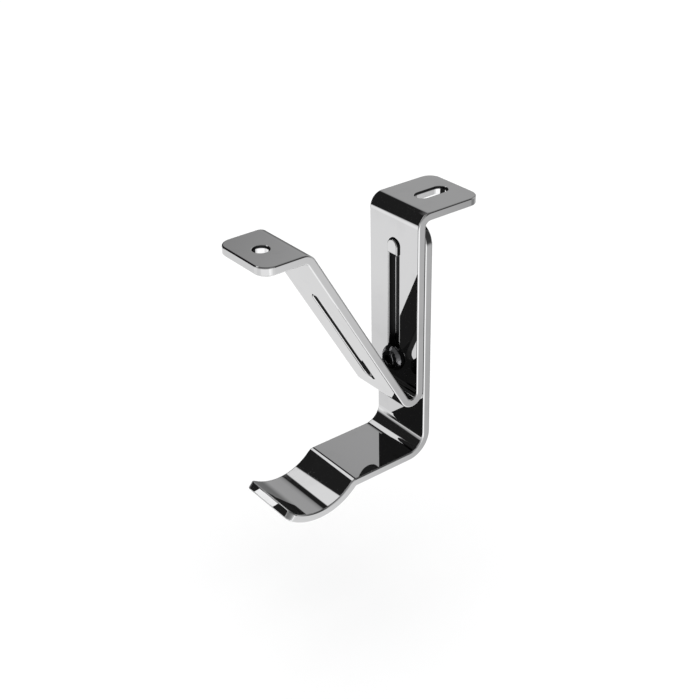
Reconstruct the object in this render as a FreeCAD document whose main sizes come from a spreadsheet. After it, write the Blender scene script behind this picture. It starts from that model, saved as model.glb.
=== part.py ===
"""Adjustable under-desk headphone hook, in millimetres.

Two bent strips of polished steel and one screw joint. The mount bracket is a V with a flange on each leg;
both flange tops lie on the plane z = 0 and are screwed to the underside of a desk. The hook arm is a J with
a round cradle; it lies on the back of the bracket's upright leg and slides down it when the screw is eased.
Both strips are slotted there: the arm's slot runs on the screw, and a guide key riveted to the arm above its
slot runs in the bracket's slot, so that the arm stays upright.

Frame: origin at the centre of the round screw hole, on the mounting plane. +Z is up, +X runs from the round
hole to the slotted flange, and Y is the strip's width, centred on y = 0.
"""
import FreeCAD, Part
import math
import os

import Sketcher

OUTPUT_FOLDER = "parts"
TANGENT_LIMIT = math.radians(20)

# Name, value in millimetres or degrees, meaning.
DIMENSIONS = (
    ("strip_width", 25.0, "width of both strips"),
    ("gauge", 3.0, "thickness of both strips"),
    ("edge_round", 0.5, "rounding of the strips' outer edges"),
    ("opening_round", 0.3, "rounding of the rims of the flanges' openings"),
    ("slot_round", 0.5, "rounding of the rims of the slots in the legs and in the hook arm"),
    ("bend_inside", 2.0, "inside radius of the bracket's bends"),
    ("hole_to_leg", 52.0, "round hole to the upright leg's front face"),
    ("hole_to_tip", 8.0, "round hole to the tip of its flange"),
    ("flange_reach", 27.0, "upright leg's front face to the tip of the slotted flange"),
    ("leg_depth", 70.5, "mounting plane to the lowest point of the V"),
    ("brace_angle", 30.0, "angle between the two legs of the V"),
    ("flange_corner", 4.5, "corner radius of both flanges"),
    ("hole_diameter", 5.5, "round screw hole"),
    ("flange_slot_width", 5.5, "slot in the longer flange"),
    ("flange_slot_long", 13.0, "end to end length of that slot"),
    ("flange_slot_out", 16.0, "upright leg's front face to that slot's centre"),
    ("slot_width", 5.3, "slots in the two legs and in the hook arm"),
    ("leg_slot_top", 12.0, "mounting plane to the top of the upright leg's slot"),
    ("screw_depth", 57.1, "mounting plane to the clamp screw's axis"),
    ("brace_slot_start", 7.0, "end of the V bend to the brace slot's lower end"),
    ("brace_slot_finish", 53.0, "end of the V bend to the brace slot's upper end"),
    ("plate_gap", 0.05, "sliding gap between bracket and hook arm"),
    ("arm_top", 5.2, "mounting plane to the top of the hook arm"),
    ("arm_corner", 6.5, "corner radius at the top of the hook arm"),
    ("arm_slot_top", 18.6, "mounting plane to the top of the arm's slot"),
    ("arm_bend_inside", 6.0, "inside radius of the bend from upright to shelf"),
    ("shelf_depth", 89.5, "mounting plane to the shelf's top"),
    ("crest_radius", 3.5, "top radius where the shelf turns down into the cradle"),
    ("cradle_radius", 18.0, "inside radius of the cradle"),
    ("cradle_out", 41.8, "upright leg's front face to the cradle's centre"),
    ("cradle_dip", 6.2, "shelf's top to the cradle's lowest inside point"),
    ("lip_angle", 41.5, "rise of the cradle's lip past its lowest point"),
    ("lip_corner", 2.5, "corner radius of the lip"),
    ("key_width", 5.0, "guide key, which runs in the bracket's slot"),
    ("key_foot", 17.3, "mounting plane to the guide key's square lower end"),
    ("key_stand", 0.9, "how far the guide key stands out in front of the upright leg"),
    ("key_edge", 0.4, "rounding of the guide key's front edges"),
    ("rivet_diameter", 3.0, "shank of the guide key, riveted into the arm"),
    ("rivet_hole", 3.05, "hole for that shank"),
    ("screw_diameter", 5.0, "clamp screw's shank"),
    ("screw_length", 14.0, "clamp screw's shank below its head"),
    ("screw_point", 0.5, "chamfer at the screw's end"),
    ("head_diameter", 9.5, "button head"),
    ("head_height", 2.75, "button head"),
    ("head_crown", 2.9, "radius of the button head's flat top"),
    ("head_rim", 0.4, "straight rim of the button head"),
    ("dome_radius", 3.6, "rounding from that rim to the crown"),
    ("socket_flats", 3.0, "hexagon socket across flats"),
    ("socket_depth", 1.6, "hexagon socket"),
    ("washer_diameter", 10.0, "flat washer"),
    ("washer_hole", 5.3, "flat washer"),
    ("washer_thickness", 1.0, "flat washer"),
    ("lock_diameter", 8.8, "split lock washer"),
    ("lock_hole", 5.2, "split lock washer"),
    ("lock_thickness", 1.2, "split lock washer"),
    ("lock_split", 0.8, "width of the lock washer's split"),
    ("split_lean", 30.0, "angle of the split to the washer's axis"),
    ("nut_flats", 8.0, "hexagon nut across flats"),
    ("nut_height", 4.0, "hexagon nut"),
    ("nut_chamfer", 0.5, "height of the nut's corner chamfer"),
    ("nut_face", 7.6, "flat round face inside that chamfer"),
    ("nut_bore", 5.1, "nut's bore, running on the screw"),
)

doc = FreeCAD.newDocument("headphone_hook")
dims = doc.addObject("Spreadsheet::Sheet", "dims")
for row, (alias, value, meaning) in enumerate(DIMENSIONS, start=1):
    dims.set(f"A{row}", meaning)
    dims.set(f"B{row}", str(value))
    dims.setAlias(f"B{row}", alias)
doc.recompute()


def size(alias):
    """The sheet's present value of one dimension."""
    return float(dims.get(alias))


# The guide key's rounded top runs concentric with the round top of the bracket's slot.
KEY_AXIS = "-dims.leg_slot_top - dims.slot_width / 2"


def bind(thing, **expressions):
    """Ties properties of an object to the sheet; two underscores stand for the dot in a property's path."""
    for path, expression in expressions.items():
        thing.setExpression(path.replace("__", "."), expression)


def flat(x, y):
    """A point of a sketch."""
    return FreeCAD.Vector(x, y, 0)


def origin_plane(body, role):
    """One of a body's own origin planes, by its role."""
    return next(plane for plane in body.Origin.OriginFeatures if plane.Role == role)


def plane_sketch(body, name, role):
    """A sketch attached to one of the body's origin planes."""
    sketch = body.newObject("Sketcher::SketchObject", name)
    sketch.AttachmentSupport = [(origin_plane(body, role), "")]
    sketch.MapMode = "FlatFace"
    return sketch


def sheet_value(expression):
    """The number that an expression of the sheet's aliases stands for."""
    return float(dims.evalExpression(expression.replace("dims.", "")))


def constrain(sketch, name, expression, kind, *arguments):
    """Adds a named dimensional constraint and ties it to the sheet."""
    value = sheet_value(expression)
    if kind == "Angle":
        value = math.radians(value)
    index = sketch.addConstraint(Sketcher.Constraint(kind, *arguments, value))
    sketch.renameConstraint(index, name)
    sketch.setExpression(f"Constraints.{name}", expression)


# ---------------------------------------------------------------- bent strips

def strip_sketch(name, pieces):
    """An open path of tangent lines and arcs that follows one face of a strip, drawn on the XZ plane.

    A piece is (start, end) for a line, or (centre, radius, from angle, to angle) for an arc, angles in degrees.
    The sketch's own x is the part's X and its y is the part's Z.
    """
    sketch = doc.addObject("Sketcher::SketchObject", name)
    sketch.Placement = FreeCAD.Placement(FreeCAD.Vector(), FreeCAD.Rotation(FreeCAD.Vector(1, 0, 0), 90))
    for piece in pieces:
        if len(piece) == 2:
            sketch.addGeometry(Part.LineSegment(flat(*piece[0]), flat(*piece[1])), False)
            continue
        centre, radius, start, finish = piece
        circle = Part.Circle(flat(*centre), FreeCAD.Vector(0, 0, 1), radius)
        low, high = sorted((math.radians(start), math.radians(finish)))
        sketch.addGeometry(Part.ArcOfCircle(circle, low, high), False)
    return sketch


def join_tangent(sketch, ends):
    """Joins each piece of a path to the next; ends holds (piece, point, next piece, next point)."""
    for joint in ends:
        sketch.addConstraint(Sketcher.Constraint("Tangent", *joint))


def bent_strip(name, path):
    """Thickens a path to the gauge, away from the face it follows, and extrudes it across the width."""
    outline = doc.addObject("Part::Offset2D", f"{name}_outline")
    outline.Source = path
    outline.Mode = "Skin"
    outline.Fill = True
    bind(outline, Value="dims.gauge")
    strip = doc.addObject("Part::Extrusion", f"{name}_strip")
    strip.Base = outline
    strip.DirMode = "Custom"
    strip.Dir = FreeCAD.Vector(0, 1, 0)
    strip.Solid = True
    strip.Symmetric = True
    bind(strip, LengthFwd="dims.strip_width")
    doc.recompute()
    body = doc.addObject("PartDesign::Body", name)
    body.Label = name
    body.BaseFeature = strip
    doc.recompute()
    return body


def slot_outline(sketch, name, along, centre, low, high, width):
    """A slot with round ends in a sketch, along the sketch's "x" or "y".

    centre, low, high and width are expressions; centre is the slot's place across its length.
    """
    across_at = sheet_value(centre)
    half = sheet_value(width) / 2
    bottom = sheet_value(low) + half
    top = sheet_value(high) - half

    def point(forward, sideways):
        if along == "x":
            return flat(forward, across_at + sideways)
        return flat(across_at - sideways, forward)

    def arc(forward, start):
        base = 0 if along == "x" else 90
        circle = Part.Circle(point(forward, 0), FreeCAD.Vector(0, 0, 1), half)
        return Part.ArcOfCircle(circle, math.radians(base + start), math.radians(base + start + 180))

    first = sketch.GeometryCount
    left, right, low_end, high_end = first, first + 1, first + 2, first + 3
    sketch.addGeometry(Part.LineSegment(point(top, half), point(bottom, half)), False)
    sketch.addGeometry(Part.LineSegment(point(bottom, -half), point(top, -half)), False)
    sketch.addGeometry(arc(bottom, 90), False)
    sketch.addGeometry(arc(top, -90), False)
    direction = "Horizontal" if along == "x" else "Vertical"
    reach, sideways = ("DistanceX", "DistanceY") if along == "x" else ("DistanceY", "DistanceX")
    sketch.addConstraint(Sketcher.Constraint("Tangent", left, 2, low_end, 1))
    sketch.addConstraint(Sketcher.Constraint("Tangent", low_end, 2, right, 1))
    sketch.addConstraint(Sketcher.Constraint("Tangent", right, 2, high_end, 1))
    sketch.addConstraint(Sketcher.Constraint("Tangent", high_end, 2, left, 1))
    sketch.addConstraint(Sketcher.Constraint(direction, left))
    sketch.addConstraint(Sketcher.Constraint("Parallel", left, right))
    constrain(sketch, f"{name}_high", f"{high} - {width} / 2", reach, -1, 1, high_end, 3)
    constrain(sketch, f"{name}_low", f"{low} + {width} / 2", reach, -1, 1, low_end, 3)
    constrain(sketch, f"{name}_radius", f"{width} / 2", "Radius", low_end)
    if centre == "0":
        sketch.addConstraint(Sketcher.Constraint("PointOnObject", low_end, 3, -1 if along == "x" else -2))
    else:
        constrain(sketch, f"{name}_centre", centre, sideways, -1, 1, low_end, 3)


def key_circle(sketch, diameter):
    """A circle on the guide key's axis."""
    circle = Part.Circle(flat(0, sheet_value(KEY_AXIS)), FreeCAD.Vector(0, 0, 1), size(diameter) / 2)
    sketch.addGeometry(circle, False)
    sketch.addConstraint(Sketcher.Constraint("PointOnObject", 0, 3, -2))
    constrain(sketch, "axis", KEY_AXIS, "DistanceY", -1, 1, 0, 3)
    constrain(sketch, "radius", f"dims.{diameter} / 2", "Radius", 0)


def cut_through(body, sketch, depth, backwards=False):
    """Pockets a sketch and makes sure that the pocket took material away."""
    volume = body.Tip.Shape.Volume
    pocket = body.newObject("PartDesign::Pocket", f"{sketch.Name}_cut")
    pocket.Profile = sketch
    pocket.Reversed = backwards
    bind(pocket, Length=depth)
    doc.recompute()
    if pocket.Shape.Volume >= volume:
        raise RuntimeError(f"{pocket.Name} cut nothing")


def sharp_edges(shape):
    """The edges where two faces meet at an angle, as (name, edge) pairs."""
    found = []
    for number, edge in enumerate(shape.Edges, start=1):
        middle = edge.valueAt((edge.FirstParameter + edge.LastParameter) / 2)
        faces = shape.ancestorsOfType(edge, Part.Face)
        normals = [face.normalAt(*face.Surface.parameter(middle)) for face in faces]
        if len(normals) == 2 and normals[0].getAngle(normals[1]) > TANGENT_LIMIT:
            found.append((f"Edge{number}", edge))
    return found


def round_edges(body, name, radius, chosen):
    """A fillet on the sharp edges that chosen(edge) picks out."""
    base = body.Tip
    names = [label for label, edge in sharp_edges(base.Shape) if chosen(edge)]
    fillet = body.newObject("PartDesign::Fillet", name)
    fillet.Base = (base, names)
    bind(fillet, Radius=radius)
    doc.recompute()


def crosses_the_sheet(edge):
    """True for a straight edge that runs through the strip's thickness at an outer corner."""
    box = edge.BoundBox
    on_side = abs(abs(box.Center.y) - size("strip_width") / 2) < 0.01
    return on_side and box.YLength < 0.01 and abs(edge.Length - size("gauge")) < 0.01


def is_outer(edge):
    """True for the edges of the strip's outline, false for the rims of its openings."""
    box = edge.BoundBox
    return max(abs(box.YMin), abs(box.YMax)) > size("slot_width")


def in_flange(edge):
    """True for the edges that lie in the flanges."""
    return edge.BoundBox.ZMin > -1.1 * size("gauge")


def finish_strip(body):
    """Breaks every outer edge of a strip, then the rims of its slots."""
    round_edges(body, f"{body.Name}_edges", "dims.edge_round", is_outer)
    round_edges(body, f"{body.Name}_slots", "dims.slot_round",
                lambda edge: not is_outer(edge) and not in_flange(edge))


# ---------------------------------------------------------------- mount bracket

def bracket_path():
    """The bracket's upper and inner face, from the slotted flange's tip to the round-hole flange's tip."""
    outside = size("bend_inside") + size("gauge")
    inside = size("bend_inside")
    leg = size("hole_to_leg")
    tip = leg + size("flange_reach")
    angle = size("brace_angle")
    slope = math.radians(angle)
    bend_z = -size("leg_depth") + outside
    vee = (leg - inside, bend_z)
    brace_low = (vee[0] - inside * math.cos(slope), vee[1] - inside * math.sin(slope))
    climb = (-outside * (1 - math.sin(slope)) - brace_low[1]) / math.cos(slope)
    brace_high = (brace_low[0] - climb * math.sin(slope), brace_low[1] + climb * math.cos(slope))
    knee = (brace_high[0] - outside * math.cos(slope), -outside)
    sketch = strip_sketch("bracket_path", (
        ((tip, 0), (leg + outside, 0)),
        ((leg + outside, -outside), outside, 90, 180),
        ((leg, -outside), (leg, bend_z)),
        (vee, inside, 180 + angle, 360),
        (brace_low, brace_high),
        (knee, outside, angle, 90),
        ((knee[0], 0), (-size("hole_to_tip"), 0)),
    ))
    join_tangent(sketch, (
        (0, 2, 1, 1), (1, 2, 2, 1), (2, 2, 3, 2), (3, 1, 4, 1), (4, 2, 5, 1), (5, 2, 6, 1),
    ))
    for flange in (0, 6):
        sketch.addConstraint(Sketcher.Constraint("Horizontal", flange))
    sketch.addConstraint(Sketcher.Constraint("Vertical", 2))
    sketch.addConstraint(Sketcher.Constraint("PointOnObject", 0, 1, -1))
    sketch.addConstraint(Sketcher.Constraint("PointOnObject", 6, 2, -1))
    constrain(sketch, "top_bend", "dims.bend_inside + dims.gauge", "Radius", 1)
    constrain(sketch, "vee_bend", "dims.bend_inside", "Radius", 3)
    constrain(sketch, "knee_bend", "dims.bend_inside + dims.gauge", "Radius", 5)
    constrain(sketch, "tip", "dims.hole_to_leg + dims.flange_reach", "DistanceX", -1, 1, 0, 1)
    constrain(sketch, "leg_face", "dims.hole_to_leg", "DistanceX", -1, 1, 2, 1)
    constrain(sketch, "vee_height", "dims.leg_depth - dims.bend_inside - dims.gauge", "DistanceY", 3, 3, -1, 1)
    constrain(sketch, "hole_tip", "dims.hole_to_tip", "DistanceX", 6, 2, -1, 1)
    constrain(sketch, "vee_angle", "dims.brace_angle", "Angle", 2, 2, 4, 1)
    return sketch


def make_bracket():
    """The V-shaped mount bracket: two flanges, the upright leg and the slanted brace."""
    body = bent_strip("mount_bracket", bracket_path())
    openings = plane_sketch(body, "flange_openings", "XY_Plane")
    openings.addGeometry(Part.Circle(flat(0, 0), FreeCAD.Vector(0, 0, 1), size("hole_diameter") / 2), False)
    openings.addConstraint(Sketcher.Constraint("Coincident", 0, 3, -1, 1))
    constrain(openings, "hole", "dims.hole_diameter / 2", "Radius", 0)
    centre = "dims.hole_to_leg + dims.flange_slot_out"
    slot_outline(openings, "flange_slot", "x", "0", f"{centre} - dims.flange_slot_long / 2",
                 f"{centre} + dims.flange_slot_long / 2", "dims.flange_slot_width")
    cut_through(body, openings, "1.5 * dims.gauge")

    leg_slot = plane_sketch(body, "leg_slot", "YZ_Plane")
    bind(leg_slot, AttachmentOffset__Base__z="dims.hole_to_leg")
    slot_outline(leg_slot, "leg_slot", "y", "0", "-dims.screw_depth - dims.slot_width / 2",
                 "-dims.leg_slot_top", "dims.slot_width")
    cut_through(body, leg_slot, "1.5 * dims.gauge", backwards=True)

    brace_slot = plane_sketch(body, "brace_slot", "YZ_Plane")
    lean = FreeCAD.Rotation(FreeCAD.Vector(-1, 0, 0), size("brace_angle"))
    brace_slot.AttachmentOffset = FreeCAD.Placement(FreeCAD.Vector(), lean)
    bind(brace_slot, AttachmentOffset__Rotation__Angle="dims.brace_angle",
         AttachmentOffset__Base__y="-dims.leg_depth + dims.bend_inside + dims.gauge",
         AttachmentOffset__Base__z="dims.hole_to_leg - dims.bend_inside")
    slot_outline(brace_slot, "brace_slot", "y", "0", "dims.brace_slot_start",
                 "dims.brace_slot_finish", "dims.slot_width")
    cut_through(body, brace_slot, "dims.bend_inside + 2 * dims.gauge")

    round_edges(body, "flange_corners", "dims.flange_corner", crosses_the_sheet)
    finish_strip(body)
    round_edges(body, "flange_rims", "dims.opening_round",
                lambda edge: not is_outer(edge) and in_flange(edge))
    return body


# ---------------------------------------------------------------- hook arm

def arm_path():
    """The hook arm's front and upper face, from its top, down the upright, out along the shelf to the lip."""
    front = size("hole_to_leg") + size("gauge") + size("plate_gap")
    shelf = -size("shelf_depth")
    bend = size("arm_bend_inside")
    crest = size("crest_radius")
    cradle = size("cradle_radius")
    dip_x = size("hole_to_leg") - size("cradle_out")
    dip_z = shelf - size("cradle_dip") + cradle
    crest_z = shelf - crest
    crest_x = dip_x + math.sqrt((crest + cradle) ** 2 - (dip_z - crest_z) ** 2)
    slope = math.degrees(math.atan2(dip_z - crest_z, dip_x - crest_x))
    sketch = strip_sketch("arm_path", (
        ((front, -size("arm_top")), (front, shelf + bend)),
        ((front - bend, shelf + bend), bend, 270, 360),
        ((front - bend, shelf), (crest_x, shelf)),
        ((crest_x, crest_z), crest, 90, slope),
        ((dip_x, dip_z), cradle, 270 - size("lip_angle"), slope + 180),
    ))
    join_tangent(sketch, ((0, 2, 1, 2), (1, 1, 2, 1), (2, 2, 3, 1), (3, 2, 4, 2)))
    sketch.addConstraint(Sketcher.Constraint("Vertical", 0))
    sketch.addConstraint(Sketcher.Constraint("Horizontal", 2))
    constrain(sketch, "bend", "dims.arm_bend_inside", "Radius", 1)
    constrain(sketch, "crest", "dims.crest_radius", "Radius", 3)
    constrain(sketch, "cradle", "dims.cradle_radius", "Radius", 4)
    constrain(sketch, "front", "dims.hole_to_leg + dims.gauge + dims.plate_gap", "DistanceX", -1, 1, 0, 1)
    constrain(sketch, "top", "dims.arm_top", "DistanceY", 0, 1, -1, 1)
    constrain(sketch, "shelf", "dims.shelf_depth", "DistanceY", 2, 1, -1, 1)
    constrain(sketch, "cradle_x", "dims.hole_to_leg - dims.cradle_out", "DistanceX", -1, 1, 4, 3)
    constrain(sketch, "cradle_z", "dims.shelf_depth + dims.cradle_dip - dims.cradle_radius",
              "DistanceY", 4, 3, -1, 1)
    constrain(sketch, "lip", "dims.cradle_radius * sin(dims.lip_angle * 1 deg)", "DistanceX", 4, 1, 4, 3)
    return sketch


def make_arm():
    """The J-shaped hook arm with its long slot, the hole for the guide key and its cradle."""
    body = bent_strip("hook_arm", arm_path())
    slot = plane_sketch(body, "arm_slot", "YZ_Plane")
    bind(slot, AttachmentOffset__Base__z="dims.hole_to_leg + dims.gauge")
    slot_outline(slot, "arm_slot", "y", "0", "-dims.screw_depth - dims.slot_width / 2",
                 "-dims.arm_slot_top", "dims.slot_width")
    cut_through(body, slot, "1.5 * dims.gauge", backwards=True)

    top = -size("arm_top")
    round_edges(body, "arm_corners", "dims.arm_corner",
                lambda edge: crosses_the_sheet(edge) and edge.BoundBox.ZMax > top - 1)
    round_edges(body, "lip_corners", "dims.lip_corner", crosses_the_sheet)
    finish_strip(body)

    drilled = plane_sketch(body, "rivet_hole", "YZ_Plane")
    bind(drilled, AttachmentOffset__Base__z="dims.hole_to_leg + dims.gauge")
    key_circle(drilled, "rivet_hole")
    cut_through(body, drilled, "1.5 * dims.gauge", backwards=True)
    return body


# ---------------------------------------------------------------- guide key

def make_key():
    """The guide key: a block with a round top and a square foot, and a shank that is riveted into the arm."""
    body = doc.addObject("PartDesign::Body", "guide_key")
    body.Label = "guide_key"
    half = size("key_width") / 2
    middle = sheet_value(KEY_AXIS)
    foot = -size("key_foot")
    block = plane_sketch(body, "key_outline", "YZ_Plane")
    bind(block, AttachmentOffset__Base__z="dims.hole_to_leg - dims.key_stand")
    corners = [(half, middle), (half, foot), (-half, foot), (-half, middle)]
    for start, finish in zip(corners, corners[1:]):
        block.addGeometry(Part.LineSegment(flat(*finish), flat(*start)), False)
    circle = Part.Circle(flat(0, middle), FreeCAD.Vector(0, 0, 1), half)
    block.addGeometry(Part.ArcOfCircle(circle, 0, math.pi), False)
    right, foot_line, left, top = 0, 1, 2, 3
    block.addConstraint(Sketcher.Constraint("Coincident", right, 1, foot_line, 2))
    block.addConstraint(Sketcher.Constraint("Coincident", foot_line, 1, left, 2))
    block.addConstraint(Sketcher.Constraint("Tangent", right, 2, top, 1))
    block.addConstraint(Sketcher.Constraint("Tangent", left, 1, top, 2))
    block.addConstraint(Sketcher.Constraint("Vertical", right))
    block.addConstraint(Sketcher.Constraint("Horizontal", foot_line))
    block.addConstraint(Sketcher.Constraint("Parallel", left, right))
    block.addConstraint(Sketcher.Constraint("PointOnObject", top, 3, -2))
    constrain(block, "key_radius", "dims.key_width / 2", "Radius", top)
    constrain(block, "key_axis", KEY_AXIS, "DistanceY", -1, 1, top, 3)
    constrain(block, "key_foot", "-dims.key_foot", "DistanceY", -1, 1, foot_line, 1)
    pad = body.newObject("PartDesign::Pad", "key_block")
    pad.Profile = block
    bind(pad, Length="dims.key_stand + dims.gauge + dims.plate_gap")
    doc.recompute()

    shank = plane_sketch(body, "rivet_outline", "YZ_Plane")
    bind(shank, AttachmentOffset__Base__z="dims.hole_to_leg + dims.gauge + dims.plate_gap")
    key_circle(shank, "rivet_diameter")
    rivet = body.newObject("PartDesign::Pad", "rivet")
    rivet.Profile = shank
    bind(rivet, Length="dims.gauge")
    doc.recompute()

    front = size("hole_to_leg") - size("key_stand")
    round_edges(body, "key_edges", "dims.key_edge", lambda edge: edge.BoundBox.XMax < front + 0.01)
    return body


# ---------------------------------------------------------------- clamp screw, washers and nut

def screw_axis(thing, distance):
    """Stands a primitive on the clamp screw's axis, pointing along +X, at a distance behind the head."""
    thing.Placement = FreeCAD.Placement(FreeCAD.Vector(), FreeCAD.Rotation(FreeCAD.Vector(0, 1, 0), 90))
    bind(thing, Placement__Base__x=f"dims.hole_to_leg + {distance}", Placement__Base__z="-dims.screw_depth")


def bulge(start, finish, radius):
    """The middle of the arc of a given radius from start to finish, which bulges to the right of that way."""
    chord = finish.sub(start)
    rise = radius - math.sqrt(radius ** 2 - (chord.Length / 2) ** 2)
    sideways = flat(chord.y, -chord.x).normalize()
    return start.add(finish).multiply(0.5).add(sideways.multiply(rise))


def make_screw():
    """A button-head screw with a hexagon socket, turned about the X axis."""
    body = doc.addObject("PartDesign::Body", "clamp_screw")
    body.Label = "clamp_screw"
    bind(body, Placement__Base__x="dims.hole_to_leg", Placement__Base__z="-dims.screw_depth")
    shank = size("screw_diameter") / 2
    length = size("screw_length")
    point = size("screw_point")
    head = size("head_diameter") / 2
    crown = size("head_crown")
    top = -size("head_height")
    rim = -size("head_rim")
    profile = plane_sketch(body, "screw_profile", "XZ_Plane")
    corners = [
        (length, 0), (length, shank - point), (length - point, shank), (0, shank), (0, head), (rim, head),
    ]
    for start, finish in zip(corners, corners[1:]):
        profile.addGeometry(Part.LineSegment(flat(*start), flat(*finish)), False)
    middle = bulge(flat(rim, head), flat(top, crown), size("dome_radius"))
    profile.addGeometry(Part.Arc(flat(rim, head), middle, flat(top, crown)), False)
    profile.addGeometry(Part.LineSegment(flat(top, crown), flat(top, 0)), False)
    profile.addGeometry(Part.LineSegment(flat(top, 0), flat(length, 0)), False)
    arc, crown_line, axis_line = 5, 6, 7
    for line in range(4):
        profile.addConstraint(Sketcher.Constraint("Coincident", line, 2, line + 1, 1))
    arc_starts_at_rim = profile.Geometry[arc].StartPoint.distanceToPoint(flat(rim, head)) < 0.001
    rim_end, crown_end = (1, 2) if arc_starts_at_rim else (2, 1)
    profile.addConstraint(Sketcher.Constraint("Coincident", 4, 2, arc, rim_end))
    profile.addConstraint(Sketcher.Constraint("Coincident", arc, crown_end, crown_line, 1))
    profile.addConstraint(Sketcher.Constraint("Coincident", crown_line, 2, axis_line, 1))
    profile.addConstraint(Sketcher.Constraint("Coincident", axis_line, 2, 0, 1))
    for upright in (0, 3, crown_line):
        profile.addConstraint(Sketcher.Constraint("Vertical", upright))
    for level in (2, 4, axis_line):
        profile.addConstraint(Sketcher.Constraint("Horizontal", level))
    profile.addConstraint(Sketcher.Constraint("PointOnObject", 0, 1, -1))
    profile.addConstraint(Sketcher.Constraint("PointOnObject", 3, 1, -2))
    constrain(profile, "length", "dims.screw_length", "DistanceX", -1, 1, 0, 1)
    constrain(profile, "point_x", "dims.screw_point", "DistanceX", 1, 2, 1, 1)
    constrain(profile, "point_z", "dims.screw_point", "DistanceY", 1, 1, 1, 2)
    constrain(profile, "shank", "dims.screw_diameter / 2", "DistanceY", -1, 1, 2, 2)
    constrain(profile, "head", "dims.head_diameter / 2", "DistanceY", -1, 1, 3, 2)
    constrain(profile, "rim", "dims.head_rim", "DistanceX", 4, 2, 4, 1)
    constrain(profile, "crown", "dims.head_crown", "DistanceY", -1, 1, crown_line, 1)
    constrain(profile, "height", "dims.head_height", "DistanceX", crown_line, 2, -1, 1)
    constrain(profile, "dome", "dims.dome_radius", "Radius", arc)
    doc.recompute()
    turned = body.newObject("PartDesign::Revolution", "turned")
    turned.Profile = profile
    turned.ReferenceAxis = (profile, ["H_Axis"])
    turned.Angle = 360
    doc.recompute()

    socket = plane_sketch(body, "socket", "YZ_Plane")
    bind(socket, AttachmentOffset__Base__z="-dims.head_height")
    corner = size("socket_flats") / math.sqrt(3)
    ring = [flat(corner * math.cos(math.radians(60 * turn)), corner * math.sin(math.radians(60 * turn)))
            for turn in range(6)]
    for turn in range(6):
        socket.addGeometry(Part.LineSegment(ring[turn], ring[(turn + 1) % 6]), False)
    guide = socket.addGeometry(Part.Circle(flat(0, 0), FreeCAD.Vector(0, 0, 1), corner), True)
    for turn in range(6):
        following = (turn + 1) % 6
        socket.addConstraint(Sketcher.Constraint("Coincident", turn, 2, following, 1))
        socket.addConstraint(Sketcher.Constraint("PointOnObject", turn, 1, guide))
        if following:
            socket.addConstraint(Sketcher.Constraint("Equal", turn, following))
    socket.addConstraint(Sketcher.Constraint("Coincident", guide, 3, -1, 1))
    socket.addConstraint(Sketcher.Constraint("PointOnObject", 0, 1, -1))
    constrain(socket, "corner", "dims.socket_flats / sqrt(3)", "Radius", guide)
    cut_through(body, socket, "dims.socket_depth", backwards=True)
    return body


def make_ring(name, outside, hole, thickness, distance):
    """A flat ring on the screw's axis."""
    blank = doc.addObject("Part::Cylinder", f"{name}_blank")
    bore = doc.addObject("Part::Cylinder", f"{name}_bore")
    bind(blank, Radius=f"{outside} / 2", Height=thickness)
    bind(bore, Radius=f"{hole} / 2", Height=thickness)
    screw_axis(blank, distance)
    screw_axis(bore, distance)
    ring = doc.addObject("Part::Cut", name)
    ring.Base = blank
    ring.Tool = bore
    ring.Label = name
    return ring


def make_flat_washer():
    """The flat washer, on the back of the hook arm."""
    stack = "2 * dims.gauge + dims.plate_gap"
    return make_ring("flat_washer", "dims.washer_diameter", "dims.washer_hole", "dims.washer_thickness", stack)


def make_lock_washer():
    """The split lock washer, pressed flat, with a slanting split."""
    stack = "2 * dims.gauge + dims.plate_gap + dims.washer_thickness"
    ring = make_ring("lock_ring", "dims.lock_diameter", "dims.lock_hole", "dims.lock_thickness", stack)
    cutter = doc.addObject("Part::Box", "lock_split_cutter")
    lean = FreeCAD.Rotation(FreeCAD.Vector(0, 0, 1), size("split_lean"))
    cutter.Placement = FreeCAD.Placement(FreeCAD.Vector(), lean)
    # The box turns about its own corner, so that corner is set back to keep its middle in the washer's.
    turn = "dims.split_lean * 1 deg"
    half_long = "1.5 * dims.lock_thickness"
    half_wide = "dims.lock_split / 2"
    ahead = f"({half_long} * cos({turn}) - {half_wide} * sin({turn}))"
    aside = f"({half_long} * sin({turn}) + {half_wide} * cos({turn}))"
    bind(cutter, Length="3 * dims.lock_thickness", Width="dims.lock_split", Height="dims.lock_diameter",
         Placement__Base__x=f"dims.hole_to_leg + {stack} + dims.lock_thickness / 2 - {ahead}",
         Placement__Base__y=f"-{aside}", Placement__Base__z="-dims.screw_depth")
    washer = doc.addObject("Part::Cut", "lock_washer")
    washer.Base = ring
    washer.Tool = cutter
    washer.Label = "lock_washer"
    return washer


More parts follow.
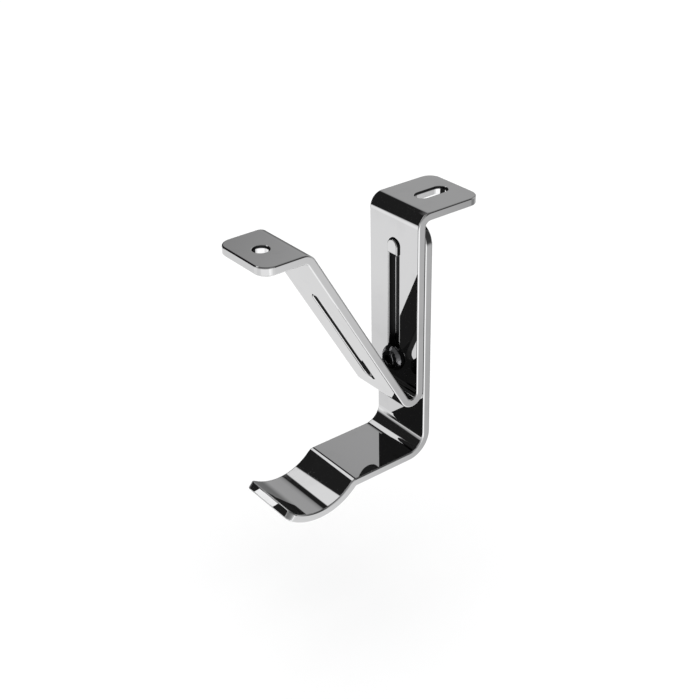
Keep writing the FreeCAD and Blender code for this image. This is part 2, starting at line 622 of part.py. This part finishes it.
def make_nut():
    """The hexagon nut: a prism with its corners turned off at both faces."""
    stack = "2 * dims.gauge + dims.plate_gap + dims.washer_thickness + dims.lock_thickness"
    corner = "dims.nut_flats / sqrt(3)"
    face = "dims.nut_face / 2"
    prism = doc.addObject("Part::Prism", "nut_prism")
    prism.Polygon = 6
    bind(prism, Circumradius=corner, Height="dims.nut_height")
    screw_axis(prism, stack)
    lower = doc.addObject("Part::Cone", "nut_lower_chamfer")
    bind(lower, Radius1=face, Radius2=corner, Height="dims.nut_chamfer")
    screw_axis(lower, stack)
    middle = doc.addObject("Part::Cylinder", "nut_middle")
    bind(middle, Radius=corner, Height="dims.nut_height - 2 * dims.nut_chamfer")
    screw_axis(middle, f"{stack} + dims.nut_chamfer")
    upper = doc.addObject("Part::Cone", "nut_upper_chamfer")
    bind(upper, Radius1=corner, Radius2=face, Height="dims.nut_chamfer")
    screw_axis(upper, f"{stack} + dims.nut_height - dims.nut_chamfer")
    turned = doc.addObject("Part::MultiFuse", "nut_turned")
    turned.Shapes = [lower, middle, upper]
    blank = doc.addObject("Part::Common", "nut_blank")
    blank.Base = prism
    blank.Tool = turned
    bore = doc.addObject("Part::Cylinder", "nut_bore_cutter")
    bind(bore, Radius="dims.nut_bore / 2", Height="dims.nut_height")
    screw_axis(bore, stack)
    nut = doc.addObject("Part::Cut", "hex_nut")
    nut.Base = blank
    nut.Tool = bore
    nut.Label = "hex_nut"
    return nut


# ---------------------------------------------------------------- assembly

pieces = [
    make_bracket(), make_arm(), make_key(), make_screw(), make_flat_washer(), make_lock_washer(), make_nut(),
]
doc.recompute()
for thing in doc.Objects:
    if "Invalid" in thing.State or "Error" in thing.State:
        raise RuntimeError(f"{thing.Name} failed: {thing.State}")
    if thing.TypeId == "Sketcher::SketchObject" and not thing.FullyConstrained:
        raise RuntimeError(f"{thing.Name} is not fully constrained")
os.makedirs(OUTPUT_FOLDER, exist_ok=True)
for piece in pieces:
    shape = piece.Shape
    if shape.isNull() or not shape.isValid() or len(shape.Solids) != 1:
        raise RuntimeError(f"{piece.Label} is not one valid solid")
    shape.exportStep(f"{OUTPUT_FOLDER}/{piece.Label}.step")
    print(piece.Label, round(shape.Volume, 1), shape.BoundBox)
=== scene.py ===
"""Looks of the under-desk headphone hook: two strips of polished chrome and one clamp screw in a pale studio.

Objects are in metres and the named sizes of the part are in millimetres, both in the part's own frame: the
origin is the centre of the round screw hole, +Z is up and +X points from the round hole's flange to the
slotted flange.
"""

import math

import bmesh
import bpy
from mathutils import Matrix, Vector


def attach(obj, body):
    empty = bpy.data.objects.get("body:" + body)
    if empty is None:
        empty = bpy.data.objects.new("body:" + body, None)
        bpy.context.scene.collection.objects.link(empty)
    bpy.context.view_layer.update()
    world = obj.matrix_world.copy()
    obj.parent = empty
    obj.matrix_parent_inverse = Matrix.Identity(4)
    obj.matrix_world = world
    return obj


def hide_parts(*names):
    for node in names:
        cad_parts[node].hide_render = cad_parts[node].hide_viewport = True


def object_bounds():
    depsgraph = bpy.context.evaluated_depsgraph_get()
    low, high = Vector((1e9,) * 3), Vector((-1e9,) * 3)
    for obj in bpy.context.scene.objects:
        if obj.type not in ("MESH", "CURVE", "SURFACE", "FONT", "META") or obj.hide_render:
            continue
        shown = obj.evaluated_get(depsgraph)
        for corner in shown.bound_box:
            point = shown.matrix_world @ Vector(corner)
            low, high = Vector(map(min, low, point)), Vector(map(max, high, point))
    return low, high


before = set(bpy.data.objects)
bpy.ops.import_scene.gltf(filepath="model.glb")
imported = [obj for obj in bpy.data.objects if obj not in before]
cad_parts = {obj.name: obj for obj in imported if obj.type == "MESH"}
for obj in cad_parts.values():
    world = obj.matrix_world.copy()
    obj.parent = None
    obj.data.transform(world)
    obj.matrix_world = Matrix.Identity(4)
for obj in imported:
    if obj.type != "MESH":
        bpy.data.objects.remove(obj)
cad_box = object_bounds()

MM = 0.001

# ---------------------------------------------------------------- sizes of the part, as in the CAD

GAUGE = 3.0
HALF_WIDTH = 12.5
EDGE_ROUND = 0.5
BEND_INSIDE = 2.0
PLATE_GAP = 0.05
LEG_FRONT = 52.0
LEG_DEPTH = 70.5
SCREW_DEPTH = 57.1
BRACE_ANGLE = 30

SLOT_RADIUS = 2.65
LEG_SLOT_TOP = 12.0
ARM_SLOT_TOP = 18.6
BRACE_SLOT = (7.0, 53.0)
FLANGE_RADIUS = 2.75
FLANGE_SLOT_X = 68.0
FLANGE_SLOT_LENGTH = 13.0

# Rounding of the openings' rims, which get a painted highlight, and how far down a flange's opening its wall
# is painted dark as shade.
FLANGE_RIM = 0.3
SLOT_RIM = 0.5
FLANGE_SHADE_DEPTH = 1.0

# Where the middle of the lip's end face is.
LIP_END = (-2.7, 1.0, -92.3)

# The clamp screw, seen along its own axis from under the head.
SHANK = 2.5
SCREW_LENGTH = 14.0
POINT = 0.5
HEAD = 4.75
HEAD_RIM = 0.4
HEAD_HEIGHT = 2.75
CROWN = 2.9
DOME = 3.6
SOCKET = 1.5
SOCKET_DEPTH = 1.6

# Its details that the CAD leaves out.
THREAD_PITCH = 0.8
THREAD_DEPTH = 0.42
THREAD_START = 0.6
HEAD_BREAK = 0.15
SOCKET_BREAK = 0.16
SOCKET_CONE = 0.35
AXIS_RADIUS = 0.01
AROUND = 96
STEPS_PER_TURN = 12
DOME_STEPS = 14
SHARP_ANGLE = 35

# ---------------------------------------------------------------- the chrome's finish, with its painted highlight and shade

SMUDGE_SCALE = 0.11
SMUDGE_SPAN = (0.5, 0.72)
SMUDGE_TINT = 0.93
SMUDGE_ROUGHNESS = 0.035
LINE_STRETCH = (0.05, 9.0, 0.05)
LINE_SPAN = (0.64, 0.70)
LINE_ROUGHNESS = 0.05
LINE_HEIGHT = 0.15
PEEL_SCALE = 0.45
DENT_SCALE = 1.1
# Painted highlight: the rounded edges and rims get the brighter colour below in noise patches, which are also
# a little rougher.
HIGHLIGHT_WEAR_SCALE = 1.3
HIGHLIGHT_WEAR_SPAN = (0.25, 0.5)
HIGHLIGHT_WEAR_SHARE = (0.65, 1.0)
WEAR_ROUGHNESS = 0.01
PAINTED_EDGE_HIGHLIGHT_COLOUR = (0.86, 0.86, 0.865)
# Painted shade: the wall of each opening gets this near-black colour, standing in for the dark reflections
# inside it.
PAINTED_WALL_SHADE_COLOUR = (0.035, 0.035, 0.037)
SHADED_WALL_ROUGHNESS = 0.4
BUMP_STRENGTH = 0.25
BUMP_HEIGHT = 0.004

# ---------------------------------------------------------------- camera, floor and studio

# Where the camera stands round the object, in degrees, and how far it is from its target, in metres.
CAMERA_AZIMUTH = -37.44
CAMERA_ELEVATION = 30.03
CAMERA_ROLL = -1.11
CAMERA_DISTANCE = 0.4009
CAMERA_TARGET = (0.02585, -0.00941, -0.04042)
CAMERA_LENS = 63.88

# The floor, in metres, low enough for the arm to slide down above it.
FLOOR_DROP = 0.042
FLOOR_REACH = 20
FLOOR_COLOUR = (0.95, 0.95, 0.95)

# The studio that the chrome reflects. Brightness 1 is the white of the table; angles are in degrees. The wall
# darkens from the table's edge up to its top.
SURROUND = 1.12
TABLE = 1.0
TABLE_EDGE = -24
TABLE_BLUR = 5
WALL_LOW = 0.60
WALL_HIGH = 0.20
WALL_TOP = 55
# What a ray sees after it has met the chrome twice, a share of the studio and a faint glow: the strips look
# black in each other.
DEEP_SHARE = 0.012
DEEP_GLOW = 0.018
# Name, azimuth from +X towards +Y, elevation, half width, half height, blur, brightness.
CARDS = (
    ("camera_side_flag", 308, 22, 16, 38, 5, 0.05),
    ("shaded_table", 340, -24, 27, 17, 9, 0.54),
    ("table_corner", 337, -26, 20, 12, 5, 0.30),
    ("bright_table", 236, -24, 44, 12, 5, 1.15),
)
# Long panels behind the object that lie along Y like staves round it: name; turn about Y from +X towards +Z
# from, to and blur; angle from +Y from, to and blur; how far the panel leans, in degrees of turn for each
# degree of that angle past 45; brightness.
PANELS = (
    ("white_table", 180, 334, 4, -90, 80, 6, 0, 0.9),
    ("table_middle", 200, 220, 2, -90, 70, 6, 0, 1.0),
    ("side_wall", -28, 66, 4, -90, 70, 4, 0, 0.2),
    ("side_wall_glow", 10, 56, 11, 39, 70, 7, 0, 0.46),
    ("low_reflector", 192, 206, 4, -90, 66, 3, 0, 1.15),
    ("end_flag", -15, 190, 4, -90, 30, 5, 0, 0.018),
    ("black_flag", 59, 150, 4, -90, 66, 3, 0, 0.018),
    ("low_black_flag", 120, 186, 4, -90, 66, 3, -3, 0.018),
    ("overhead_softbox", 54, 88.5, 1.5, 47, 66, 0.7, 3.25, 1.02),
    ("softbox_frame", 59, 70.5, 1.5, 47, 66, 0.7, 0, 0.018),
    ("vee_shadow", 186, 205, 3, 49.6, 52, 0.3, 0, 0.02),
)
# The card beside the lip: its half width and half height and its distance in millimetres, the direction it
# stands in, as an azimuth and an elevation, and its brightness.
LIP_CARD_HALF = (4.0, 6.0)
LIP_CARD_DISTANCE = 30.0
LIP_CARD_TOWARDS = (133, 21)
LIP_CARD_GLOW = 1.3


class Graph:
    """A shader node tree with short ways to add and join nodes."""

    def __init__(self, tree):
        self.tree = tree
        tree.nodes.clear()

    def node(self, kind, inputs=None, **settings):
        made = self.tree.nodes.new(kind)
        for name, value in settings.items():
            setattr(made, name, value)
        for socket, value in (inputs or {}).items():
            self.feed(made.inputs[socket], value)
        return made

    def feed(self, socket, value):
        if isinstance(value, bpy.types.NodeSocket):
            self.tree.links.new(value, socket)
        else:
            socket.default_value = value

    def math(self, operation, *values):
        """One sum of a Math node."""
        return self.node("ShaderNodeMath", dict(enumerate(values)), operation=operation).outputs[0]

    def vector(self, operation, *values):
        """One vector sum, with a vector for its result."""
        return self.node("ShaderNodeVectorMath", dict(enumerate(values)), operation=operation).outputs[0]

    def dot(self, vector, fixed):
        made = self.node("ShaderNodeVectorMath", {0: vector, 1: fixed}, operation="DOT_PRODUCT")
        return made.outputs["Value"]

    def scale(self, vector, factor):
        made = self.node("ShaderNodeVectorMath", {0: vector, "Scale": factor}, operation="SCALE")
        return made.outputs[0]

    def ramp(self, value, low, high, start=0.0, finish=1.0):
        """start below low, finish above high, and a smooth step between."""
        made = self.node("ShaderNodeMapRange", interpolation_type="SMOOTHSTEP")
        for name, item in (("Value", value), ("From Min", low), ("From Max", high),
                           ("To Min", start), ("To Max", finish)):
            self.feed(made.inputs[name], item)
        return made.outputs["Result"]

    def within(self, value, half, blur):
        """1 where a value is closer to 0 than half, 0 beyond, with a soft edge."""
        return self.ramp(self.math("ABSOLUTE", value), half - blur, half + blur, 1.0, 0.0)

    def noise(self, coordinates, scale, detail=2.0):
        """Smooth noise between 0 and 1."""
        made = self.node("ShaderNodeTexNoise", {"Vector": coordinates, "Scale": scale, "Detail": detail})
        return made.outputs["Fac"]

    def mix(self, share, first, second):
        """first where share is 0, second where it is 1."""
        made = self.node("ShaderNodeMix", data_type="FLOAT")
        self.feed(made.inputs["Factor"], share)
        self.feed(made.inputs["A"], first)
        self.feed(made.inputs["B"], second)
        return made.outputs["Result"]

    def colour(self, share, first, second):
        """mix for colours, whose sockets on the node are inputs 0, 6 and 7 and output 2."""
        made = self.node("ShaderNodeMix", {0: share}, data_type="RGBA")
        self.feed(made.inputs[6], first)
        self.feed(made.inputs[7], second)
        return made.outputs[2]

    def surface(self, shader, output="ShaderNodeOutputMaterial"):
        """Joins the last shader to the tree's output."""
        self.node(output, {"Surface": shader.outputs[0]})


def new_material(name):
    """A material and the graph of its empty node tree."""
    material = bpy.data.materials.new(name)
    material.use_nodes = True
    return material, Graph(material.node_tree)


def opaque(colour):
    return (*colour, 1)


def paint(thing, material):
    thing.data.materials.clear()
    thing.data.materials.append(material)


def add_object(name, data):
    thing = bpy.data.objects.new(name, data)
    bpy.context.collection.objects.link(thing)
    return thing


def rectangle(name, half_width, half_height, level=0.0):
    """A flat rectangle round the Z axis that faces up."""
    corners = ((-half_width, -half_height), (half_width, -half_height),
               (half_width, half_height), (-half_width, half_height))
    mesh = bpy.data.meshes.new(name)
    mesh.from_pydata([(x, y, level) for x, y in corners], [], [(0, 1, 2, 3)])
    return add_object(name, mesh)


# ---------------------------------------------------------------- the studio

def aim(azimuth, elevation):
    """The unit vector towards an azimuth and an elevation in degrees."""
    around, up = math.radians(azimuth), math.radians(elevation)
    return Vector((math.cos(around) * math.cos(up), math.sin(around) * math.cos(up), math.sin(up)))


def card_share(graph, direction, azimuth, elevation, half_width, half_height, blur):
    """1 where a direction meets a flat rectangular card that faces the object, 0 beside it."""
    middle = aim(azimuth, elevation)
    sideways = aim(azimuth + 90, 0)
    upwards = middle.cross(sideways)
    depth = graph.dot(direction, middle)
    share = graph.math("GREATER_THAN", depth, 0.01)
    for axis, half in ((sideways, half_width), (upwards, half_height)):
        offset = graph.math("ABSOLUTE", graph.math("DIVIDE", graph.dot(direction, axis), depth))
        inner = math.tan(math.radians(half - blur))
        outer = math.tan(math.radians(half + blur))
        share = graph.math("MULTIPLY", share, graph.ramp(offset, inner, outer, 1.0, 0.0))
    return share


def panel_share(graph, turn, tilt, turn_from, turn_to, turn_blur, tilt_from, tilt_to, tilt_blur, lean):
    """1 where a direction meets a stave-like panel, 0 beside it."""
    if lean:
        leant = graph.math("MULTIPLY", graph.math("SUBTRACT", tilt, math.pi / 4), float(lean))
        turn = graph.math("SUBTRACT", turn, leant)
    offset = graph.math("SUBTRACT", turn, math.radians(turn_from + turn_to) / 2)
    offset = graph.math("WRAP", offset, math.pi, -math.pi)
    share = graph.within(offset, math.radians(turn_to - turn_from) / 2, math.radians(turn_blur))
    offset = graph.math("SUBTRACT", tilt, math.radians(tilt_from + tilt_to) / 2)
    along = graph.within(offset, math.radians(tilt_to - tilt_from) / 2, math.radians(tilt_blur))
    return graph.math("MULTIPLY", share, along)


def studio_level(graph, direction):
    """How bright the studio is in a direction."""
    height = graph.dot(direction, Vector((0, 0, 1)))
    edge, blur = math.radians(TABLE_EDGE), math.radians(TABLE_BLUR)
    above = graph.ramp(height, math.sin(edge - blur), math.sin(edge + blur))
    wall = graph.ramp(height, math.sin(edge), math.sin(math.radians(WALL_TOP)), WALL_LOW, WALL_HIGH)
    level = graph.mix(above, TABLE, wall)
    for _name, *place, brightness in CARDS:
        level = graph.mix(card_share(graph, direction, *place), level, brightness)
    turn = graph.math("ARCTAN2", height, graph.dot(direction, Vector((1, 0, 0))))
    tilt = graph.math("ARCCOSINE", graph.dot(direction, Vector((0, 1, 0))))
    for _name, *place, brightness in PANELS:
        level = graph.mix(panel_share(graph, turn, tilt, *place), level, brightness)
    return level


def make_world():
    """A white surround for the camera and the floor, and a studio of cards and panels for the chrome."""
    world = bpy.data.worlds.new("studio")
    world.use_nodes = True
    graph = Graph(world.node_tree)
    level = studio_level(graph, graph.node("ShaderNodeTexCoord").outputs["Generated"])
    path = graph.node("ShaderNodeLightPath")
    deep = graph.math("GREATER_THAN", path.outputs["Glossy Depth"], 1.5)
    dim = graph.math("ADD", graph.math("MULTIPLY", level, DEEP_SHARE), DEEP_GLOW)
    studio = graph.node("ShaderNodeBackground", {"Color": graph.mix(deep, level, dim)})
    surround = graph.node("ShaderNodeBackground", {"Color": opaque((1, 1, 1)), "Strength": SURROUND})
    graph.surface(graph.node("ShaderNodeMixShader", {
        0: path.outputs["Is Glossy Ray"], 1: surround.outputs[0], 2: studio.outputs[0]}),
        output="ShaderNodeOutputWorld")
    bpy.context.scene.world = world


def make_floor():
    """A plain pale floor."""
    material, graph = new_material("pale_floor")
    graph.surface(graph.node("ShaderNodeBsdfDiffuse", {"Color": opaque(FLOOR_COLOUR)}))
    floor = rectangle("floor", FLOOR_REACH, FLOOR_REACH, cad_box[0].z - FLOOR_DROP)
    floor.visible_glossy = False
    paint(floor, material)


def make_lip_card():
    """A small white card beside the lip, which only the lip's end face reflects."""
    material, graph = new_material("lip_card")
    glow = graph.node("ShaderNodeEmission", {"Strength": LIP_CARD_GLOW})
    clear = graph.node("ShaderNodeBsdfTransparent")
    back = graph.node("ShaderNodeNewGeometry").outputs["Backfacing"]
    graph.surface(graph.node("ShaderNodeMixShader", {0: back, 1: glow.outputs[0], 2: clear.outputs[0]}))
    card = rectangle("lip_card", *(half * MM for half in LIP_CARD_HALF))
    towards = aim(*LIP_CARD_TOWARDS)
    place = (Vector(LIP_END) + towards * LIP_CARD_DISTANCE) * MM
    card.matrix_world = Matrix.Translation(place) @ (-towards).to_track_quat("Z", "Y").to_matrix().to_4x4()
    for ray in ("camera", "diffuse", "shadow", "transmission", "volume_scatter"):
        setattr(card, f"visible_{ray}", False)
    paint(card, material)


def make_camera():
    camera = add_object("camera", bpy.data.cameras.new("camera"))
    camera.data.lens = CAMERA_LENS
    camera.data.clip_start = 0.01
    turn = Matrix.Rotation(math.radians(CAMERA_AZIMUTH), 4, "Z")
    tilt = Matrix.Rotation(math.radians(90 - CAMERA_ELEVATION), 4, "X")
    roll = Matrix.Rotation(math.radians(CAMERA_ROLL), 4, "Z")
    back = Matrix.Translation((0, 0, CAMERA_DISTANCE))
    camera.matrix_world = Matrix.Translation(CAMERA_TARGET) @ turn @ tilt @ roll @ back
    bpy.context.scene.camera = camera


# ---------------------------------------------------------------- the chrome

def flange_opening(middle, length):
    """An opening of a flange, with the length it has between its round ends."""
    ends = [Vector((middle + side * length / 2, 0, -GAUGE / 2)) for side in (-1, 1)]
    return *ends, FLANGE_RADIUS, Vector((0, 0, 1)), FLANGE_RIM, FLANGE_SHADE_DEPTH


def upright_slot(front, top):
    """A slot from the clamp screw up to a depth, in the upright strip whose front face is at an X."""
    ends = [Vector((front + GAUGE / 2, 0, -depth)) for depth in (SCREW_DEPTH, top + SLOT_RADIUS)]
    return *ends, SLOT_RADIUS, Vector((1, 0, 0)), SLOT_RIM, GAUGE


def brace_slot():
    """The slot of the slanted brace, whose wall is as bright as the brace."""
    slope = math.radians(BRACE_ANGLE)
    normal = Vector((math.cos(slope), 0, math.sin(slope)))
    climb = Vector((-math.sin(slope), 0, math.cos(slope)))
    bend = Vector((LEG_FRONT - BEND_INSIDE, 0, BEND_INSIDE + GAUGE - LEG_DEPTH))
    start = bend - normal * (BEND_INSIDE + GAUGE / 2)
    low, high = BRACE_SLOT
    ends = [start + climb * reach for reach in (low + SLOT_RADIUS, high - SLOT_RADIUS)]
    return *ends, SLOT_RADIUS, normal, SLOT_RIM, 0


# Every opening of the two strips: the centres of its two ends half way through the sheet, its radius, the
# sheet's normal, the rounding of its rim (painted highlight) and how far down from the sheet's outer face its
# wall is painted dark as shade.
OPENINGS = {
    "mount_bracket": (
        flange_opening(0, 0.01),
        flange_opening(FLANGE_SLOT_X, FLANGE_SLOT_LENGTH - 2 * FLANGE_RADIUS),
        upright_slot(LEG_FRONT, LEG_SLOT_TOP),
        brace_slot(),
    ),
    "hook_arm": (upright_slot(LEG_FRONT + GAUGE + PLATE_GAP, ARM_SLOT_TOP),),
}


def opening_distance(graph, place, first, last, radius, normal):
    """How far a point is from an opening's wall, far where the sheet is another one, and its height in it."""
    along = last - first
    length = along.length
    along.normalize()
    offset = graph.vector("SUBTRACT", place, first)
    reach = graph.math("MINIMUM", graph.math("MAXIMUM", graph.dot(offset, along), 0.0), length)
    depth = graph.dot(offset, normal)
    aside = graph.vector("SUBTRACT", offset, graph.scale(along, reach))
    aside = graph.vector("SUBTRACT", aside, graph.scale(normal, depth))
    distance = graph.node("ShaderNodeVectorMath", {0: aside}, operation="LENGTH").outputs["Value"]
    elsewhere = graph.math("GREATER_THAN", graph.math("ABSOLUTE", depth), GAUGE / 2 + 0.1)
    away = graph.math("MULTIPLY", elsewhere, 1000.0)
    return graph.math("ADD", graph.math("SUBTRACT", distance, radius), away), depth


def strip_masks(graph, place, openings):
    """Two masks of a strip: the wall of its openings, painted dark as shade, and its rounded edges and rims,
    painted with a highlight.
    """
    sideways = graph.math("ABSOLUTE", graph.dot(place, Vector((0, 1, 0))))
    normal = graph.node("ShaderNodeNewGeometry").outputs["Normal"]
    facing = graph.math("ABSOLUTE", graph.dot(normal, Vector((0, 1, 0))))
    flank = graph.ramp(facing, 0.9, 0.99, 1.0, 0.0)
    edges = graph.math("MULTIPLY", flank, graph.ramp(sideways, HALF_WIDTH - EDGE_ROUND, HALF_WIDTH - 0.3))
    wall_shade = 0.0
    for *shape, rim, shade_depth in openings:
        distance, depth = opening_distance(graph, place, *shape)
        edges = graph.math("MAXIMUM", edges, graph.ramp(distance, rim * 0.8, rim, 1.0, 0.0))
        if shade_depth:
            # Painted shade on the opening's wall, from the outer face down to the given depth.
            wall = graph.ramp(distance, 0.03, 0.1, 1.0, 0.0)
            lowest = GAUGE / 2 - shade_depth
            if shade_depth < GAUGE:
                wall = graph.math("MULTIPLY", wall, graph.ramp(depth, lowest - 0.15, lowest + 0.15))
            wall_shade = graph.math("MAXIMUM", wall_shade, wall)
    return wall_shade, edges


def chrome(name, tint, roughness, openings=(), dents=0.0):
    """Polished chrome with smudges, fine polishing lines and a trace of orange peel.

    A strip, which is what has openings, also gets a painted highlight in patches on its rounded edges and
    rims, which are a little rougher there, and near-black painted shade on the wall of its openings.
    """
    material, graph = new_material(name)
    place = graph.scale(graph.node("ShaderNodeTexCoord").outputs["Object"], 1 / MM)

    smudge = graph.ramp(graph.noise(place, SMUDGE_SCALE, 5.0), *SMUDGE_SPAN)
    lines = graph.noise(graph.vector("MULTIPLY", place, Vector(LINE_STRETCH)), 1.0, 3.0)
    rough = graph.math("ADD", roughness, graph.math("MULTIPLY", smudge, SMUDGE_ROUGHNESS))
    rough = graph.math("ADD", rough, graph.math("MULTIPLY", graph.ramp(lines, *LINE_SPAN), LINE_ROUGHNESS))
    dull = [SMUDGE_TINT * part for part in tint]
    colour = graph.colour(graph.math("MULTIPLY", smudge, 0.5), opaque(tint), opaque(dull))

    height = graph.math("MULTIPLY", lines, LINE_HEIGHT)
    height = graph.math("ADD", height, graph.noise(place, PEEL_SCALE, 1.0))
    height = graph.math("ADD", height, graph.math("MULTIPLY", graph.noise(place, DENT_SCALE), dents))
    if openings:
        wall_shade, edges = strip_masks(graph, place, openings)
        highlight_wear = graph.ramp(graph.noise(place, HIGHLIGHT_WEAR_SCALE), *HIGHLIGHT_WEAR_SPAN, *HIGHLIGHT_WEAR_SHARE)
        # Painted highlight: the edges and rims get a brighter colour in patches, which are also a little
        # rougher.
        worn_highlight = graph.math("MULTIPLY", edges, highlight_wear)
        colour = graph.colour(worn_highlight, colour, opaque(PAINTED_EDGE_HIGHLIGHT_COLOUR))
        rough = graph.math("ADD", rough, graph.math("MULTIPLY", worn_highlight, WEAR_ROUGHNESS))
        # Painted shade: the wall of the openings is coloured near black.
        colour = graph.colour(wall_shade, colour, opaque(PAINTED_WALL_SHADE_COLOUR))
        rough = graph.mix(wall_shade, rough, SHADED_WALL_ROUGHNESS)
    bump = graph.node("ShaderNodeBump", {
        "Height": height, "Strength": BUMP_STRENGTH, "Distance": BUMP_HEIGHT * MM})
    graph.surface(graph.node("ShaderNodeBsdfPrincipled", {
        "Base Color": colour, "Metallic": 1.0, "Roughness": rough, "Normal": bump.outputs[0]}))
    return material


# ---------------------------------------------------------------- the clamp screw

def arc_points(start, finish, radius, steps):
    """Points of the arc between two points (along, out) that bulges away from the screw's axis."""
    begin, end = Vector(start), Vector(finish)
    chord = end - begin
    outward = Vector((chord.y, -chord.x)).normalized()
    centre = (begin + end) / 2 - outward * math.sqrt(radius ** 2 - chord.length_squared / 4)
    first, last = begin - centre, end - centre
    swing = first.angle_signed(last)
    return [centre + Matrix.Rotation(-swing * step / steps, 2) @ first for step in range(steps + 1)]


def thread_radius(along, around):
    """Radius of the thread at a distance behind the head and an angle, tapering off into the point."""
    turn = (along / THREAD_PITCH - around / math.tau) % 1
    flank = 1 - abs(2 * turn - 1)
    cut = min(max(1.25 * flank - 0.15, 0.0), 1.0)
    fade = min(max((along - THREAD_START) / THREAD_PITCH, 0.0), 1.0)
    tip = SHANK - POINT + (SCREW_LENGTH - along)
    return min(SHANK - THREAD_DEPTH * cut * fade, tip)


def hexagon(across):
    """The radius of a hexagon at an angle."""
    return lambda angle: across / math.cos((angle + math.pi / 6) % (math.pi / 3) - math.pi / 6)


def screw_profile():
    """Rings from the screw's end to the bottom of its socket: a distance behind the head, and a radius."""
    steps = round(SCREW_LENGTH / THREAD_PITCH * STEPS_PER_TURN)
    rings = [(SCREW_LENGTH, AXIS_RADIUS)]
    for step in range(steps, -1, -1):
        along = SCREW_LENGTH * step / steps
        rings.append((along, lambda angle, along=along: thread_radius(along, angle)))
    rings += [(0, HEAD - HEAD_BREAK), (-0.05, HEAD - 0.03), (-0.15, HEAD)]
    rings += arc_points((-HEAD_RIM, HEAD), (-HEAD_HEIGHT, CROWN), DOME, DOME_STEPS)
    rings += [
        (-HEAD_HEIGHT, CROWN - HEAD_BREAK),
        (-HEAD_HEIGHT, hexagon(SOCKET + SOCKET_BREAK)),
        (-HEAD_HEIGHT + SOCKET_BREAK, hexagon(SOCKET)),
        (-HEAD_HEIGHT + SOCKET_DEPTH, hexagon(SOCKET)),
        (-HEAD_HEIGHT + SOCKET_DEPTH + SOCKET_CONE, AXIS_RADIUS),
    ]
    return rings


def make_screw():
    """A button-head screw with a hexagon socket and a real helical thread."""
    mesh = bmesh.new()
    rows = []
    for along, radius in screw_profile():
        row = []
        for step in range(AROUND):
            angle = math.tau * step / AROUND
            out = radius(angle) if callable(radius) else radius
            place = Vector((LEG_FRONT + along, out * math.cos(angle), out * math.sin(angle) - SCREW_DEPTH))
            row.append(mesh.verts.new(place * MM))
        rows.append(row)
    for row, following in zip(rows, rows[1:]):
        for step in range(AROUND):
            after = (step + 1) % AROUND
            mesh.faces.new((row[step], row[after], following[after], following[step]))
    for row in (rows[0], rows[-1]):
        mesh.faces.new(row)
    bmesh.ops.recalc_face_normals(mesh, faces=mesh.faces)
    data = bpy.data.meshes.new("threaded_screw")
    mesh.to_mesh(data)
    mesh.free()
    data.shade_smooth()
    data.set_sharp_from_angle(angle=math.radians(SHARP_ANGLE))
    return add_object("threaded_screw", data)


# ---------------------------------------------------------------- the scene

STRIP_TINT = (0.65, 0.65, 0.655)
washer_steel = chrome("washer_steel", (0.52, 0.52, 0.53), 0.14)
for node, material in (
        ("mount_bracket", chrome("bracket_chrome", STRIP_TINT, 0.015, OPENINGS["mount_bracket"])),
        ("hook_arm", chrome("arm_chrome", STRIP_TINT, 0.015, OPENINGS["hook_arm"])),
        ("guide_key", chrome("key_chrome", (0.68, 0.68, 0.685), 0.03)),
        ("flat_washer", washer_steel),
        ("lock_washer", washer_steel),
        ("hex_nut", chrome("fastener_chrome", (0.6, 0.6, 0.61), 0.06))):
    paint(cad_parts[node], material)

screw = make_screw()
# Painted shade: the screw's dark tint stands in for the dark reflections in its head.
paint(screw, chrome("screw_steel_painted_dark", (0.24, 0.24, 0.25), 0.04, dents=150.0))
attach(screw, "screw")
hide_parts("clamp_screw")

make_world()
make_floor()
make_lip_card()
make_camera()
bpy.context.scene.view_settings.view_transform = "Standard"
